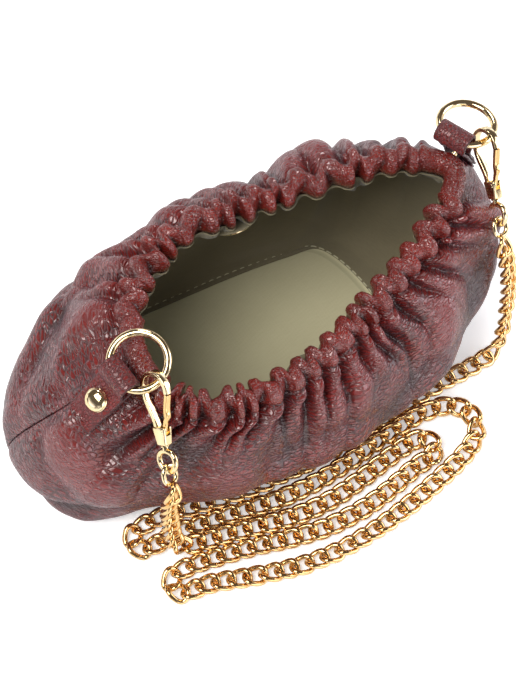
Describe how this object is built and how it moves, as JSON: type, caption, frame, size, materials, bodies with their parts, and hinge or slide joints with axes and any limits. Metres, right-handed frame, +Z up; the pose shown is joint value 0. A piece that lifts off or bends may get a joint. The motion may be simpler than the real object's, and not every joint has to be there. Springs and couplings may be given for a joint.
{
  "type": "gathered leather pouch bag",
  "caption": "Small slumped leather pouch bag with a gathered elastic mouth, cotton lining, magnetic snap, tab rings and a curb chain strap on trigger hooks.",
  "frame": {"origin": "middle of the leather base, on the surface the bag lies on", "axes": "+X along the long side of the bag towards the higher end, -Y towards the front where the chain lies, +Z up out of the mouth"},
  "size_m": [0.2318, 0.1533, 0.1012],
  "materials": {
    "leather": "pebbled, semi-gloss",
    "rim_leather": "smooth, semi-gloss",
    "cotton": "matt woven cotton",
    "board": "matt",
    "elastic": "woven elastic",
    "gold": "polished pale gold plating",
    "steel": "plain"
  },
  "bodies": {
    "bag": {"front_panel": "leather", "back_panel": "leather", "base_panel": "leather", "left_tab": "leather", "right_tab": "leather", "mouth_casing": "rim_leather", "lining_front": "cotton", "lining_back": "cotton", "lining_floor": "cotton", "snap_patch_back": "cotton", "snap_patch_front": "cotton", "base_board": "board", "mouth_elastic": "elastic", "left_rivet": "gold", "right_rivet": "gold", "snap_back": "gold", "snap_front": "gold", "chain_right_drop": "gold", "chain_pile": "gold", "chain_left_drop": "gold", "left_rivet_washer": "steel", "right_rivet_washer": "steel", "snap_washer_back": "steel", "snap_washer_front": "steel"},
    "left_ring_body": {"left_ring": "gold"},
    "left_hook_body": {"left_hook": "gold", "left_gate_pin": "gold"},
    "left_gate_body": {"left_gate": "gold"},
    "left_swivel_body": {"left_swivel": "gold", "left_end_link": "gold"},
    "right_ring_body": {"right_ring": "gold"},
    "right_hook_body": {"right_hook": "gold", "right_gate_pin": "gold"},
    "right_gate_body": {"right_gate": "gold"},
    "right_swivel_body": {"right_swivel": "gold", "right_end_link": "gold"}
  },
  "joints": [
    {"name": "left_ring_swing", "type": "hinge", "parent": "bag", "child": "left_ring_body", "pos_m": [-0.06412, -0.0173, 0.08765], "axis": [0.1489, -0.9703, -0.1906], "range_deg": [-3, 54], "deforming": ["chain_left_drop"]},
    {"name": "left_hook_swing", "type": "hinge", "parent": "left_ring_body", "child": "left_hook_body", "pos_m": [-0.05407, -0.02722, 0.08741], "axis": [0.9785, 0.0342, 0.2035], "range_deg": [-8, 3], "deforming": ["chain_left_drop"]},
    {"name": "left_gate_press", "type": "hinge", "parent": "left_hook_body", "child": "left_gate_body", "pos_m": [-0.0579, -0.04127, 0.07673], "axis": [-0.8638, -0.1337, 0.4858], "range_deg": [-18, 0], "stiffness_Nm_per_rad": 0.004, "springref_deg": 11.46},
    {"name": "left_swivel_turn", "type": "hinge", "parent": "left_hook_body", "child": "left_swivel_body", "pos_m": [-0.05439, -0.02816, 0.08657], "axis": [-0.2494, -0.7243, -0.6428], "continuous": true},
    {"name": "right_ring_swing", "type": "hinge", "parent": "bag", "child": "right_ring_body", "pos_m": [0.10137, 0.00605, 0.09564], "axis": [-0.4067, 0.9135, 0], "range_deg": [-90, 0], "deforming": ["chain_right_drop"]},
    {"name": "right_hook_swing", "type": "hinge", "parent": "right_ring_body", "child": "right_hook_body", "pos_m": [0.11155, -0.00122, 0.09464], "axis": [0.979, 0.1376, -0.1505], "range_deg": [-60, 0], "deforming": ["chain_right_drop"]},
    {"name": "right_gate_press", "type": "hinge", "parent": "right_hook_body", "child": "right_gate_body", "pos_m": [0.10828, -0.01554, 0.08414], "axis": [-0.9587, 0.01, 0.2842], "range_deg": [-18, 0], "stiffness_Nm_per_rad": 0.004, "springref_deg": 11.46},
    {"name": "right_swivel_turn", "type": "hinge", "parent": "right_hook_body", "child": "right_swivel_body", "pos_m": [0.11129, -0.00218, 0.0938], "axis": [-0.1983, -0.7399, -0.6428], "continuous": true}
  ]
}
